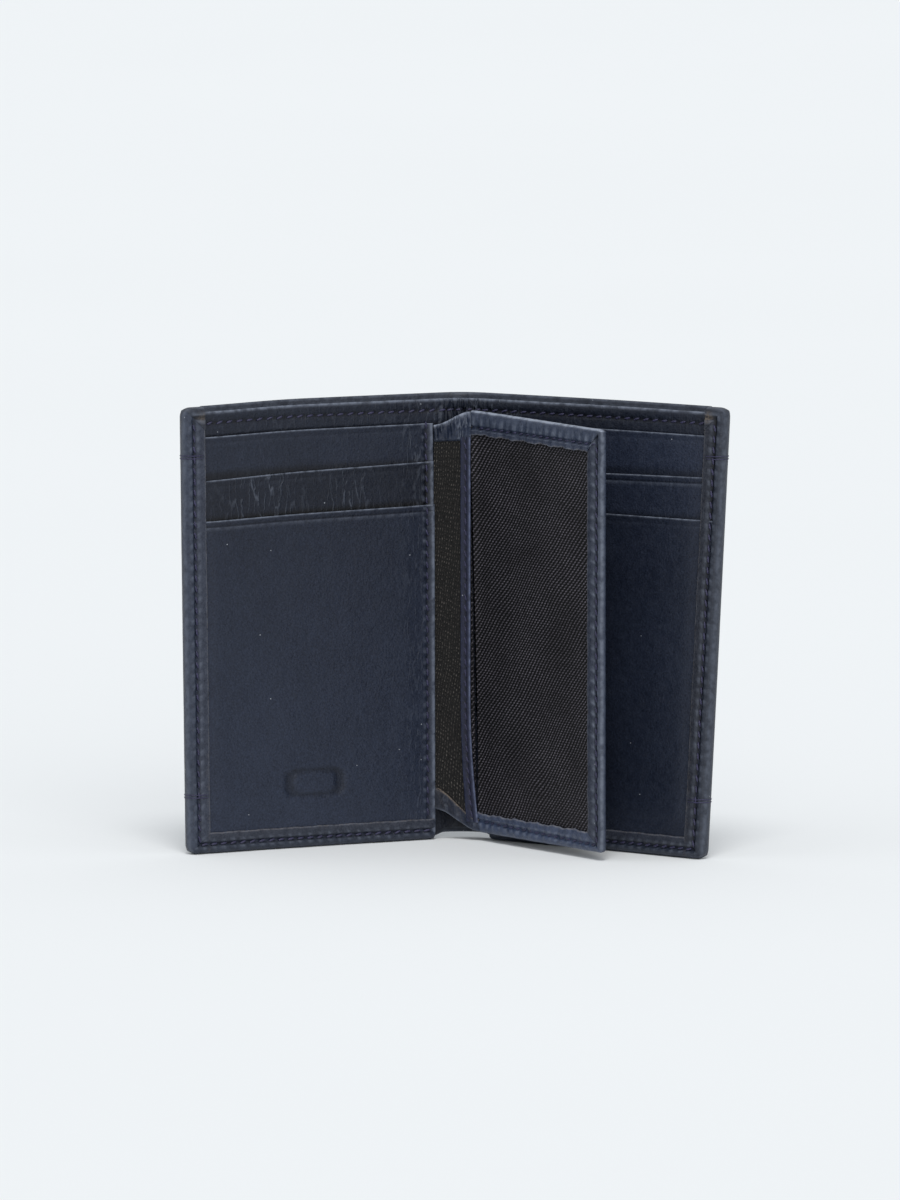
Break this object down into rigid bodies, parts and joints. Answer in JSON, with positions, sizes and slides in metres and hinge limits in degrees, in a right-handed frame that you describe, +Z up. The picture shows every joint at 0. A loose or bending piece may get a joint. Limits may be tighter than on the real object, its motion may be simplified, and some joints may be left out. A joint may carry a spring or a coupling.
{
  "type": "trifold wallet",
  "caption": "Small navy leather trifold wallet standing open like a book, with card pockets in both covers, a bill compartment and a hinged centre leaf with a mesh window.",
  "frame": {"origin": "under the middle of the object, on the surface that it stands on", "axes": "+X to the right cover, +Y to the outside of the spine, +Z up along the spine"},
  "size_m": [0.1256, 0.0438, 0.105],
  "materials": {
    "cover_leather": "smooth dyed leather, semi-matt",
    "panel_leather": "smooth dyed leather, semi-matt",
    "leaf_leather": "soft smooth dyed leather, satin",
    "lining_cloth": "plain woven nylon, matt",
    "window_mesh": "coarse twill nylon mesh, matt",
    "sewing_thread": "bonded polyester thread, satin"
  },
  "bodies": {
    "centre_leaf": {"spine_cover": "cover_leather", "spine_lining": "lining_cloth", "spine_bill_divider": "panel_leather", "leaf_window_frame": "leaf_leather", "leaf_mesh_window": "window_mesh", "leaf_mesh_binding": "leaf_leather", "leaf_lining": "lining_cloth", "leaf_back_leather": "leaf_leather", "leaf_back_pocket": "leaf_leather", "leaf_frame_thread": "sewing_thread", "leaf_binding_thread": "sewing_thread", "leaf_root_leather": "leaf_leather", "leaf_root_lining": "lining_cloth"},
    "left_cover": {"left_outer_cover": "cover_leather", "left_cover_lining": "lining_cloth", "left_bill_divider": "panel_leather", "left_pocket_backing": "lining_cloth", "left_card_pocket_top": "panel_leather", "left_card_pocket_middle": "panel_leather", "left_card_pocket_bottom": "panel_leather", "left_edge_thread": "sewing_thread", "left_divider_thread": "sewing_thread", "left_inner_seam_thread": "sewing_thread", "left_upper_bar_tack": "sewing_thread", "left_lower_bar_tack": "sewing_thread"},
    "right_cover": {"right_outer_cover": "cover_leather", "right_cover_lining": "lining_cloth", "right_bill_divider": "panel_leather", "right_pocket_backing": "lining_cloth", "right_card_pocket_top": "panel_leather", "right_card_pocket_middle": "panel_leather", "right_card_pocket_bottom": "panel_leather", "right_edge_thread": "sewing_thread", "right_divider_thread": "sewing_thread", "right_inner_seam_thread": "sewing_thread", "right_upper_bar_tack": "sewing_thread", "right_lower_bar_tack": "sewing_thread"}
  },
  "joints": [
    {"name": "left_cover_turn", "type": "hinge", "parent": "centre_leaf", "child": "left_cover", "pos_m": [-0.00318, 0.01814, 0], "axis": [0, 0, -1], "range_deg": [-97, 31], "deforming": ["leaf_root_leather", "leaf_root_lining"]},
    {"name": "right_cover_turn", "type": "hinge", "parent": "centre_leaf", "child": "right_cover", "pos_m": [0.01106, 0.01987, 0], "axis": [0, 0, 1], "range_deg": [-17, 31], "deforming": ["spine_cover", "spine_lining", "spine_bill_divider"]}
  ]
}
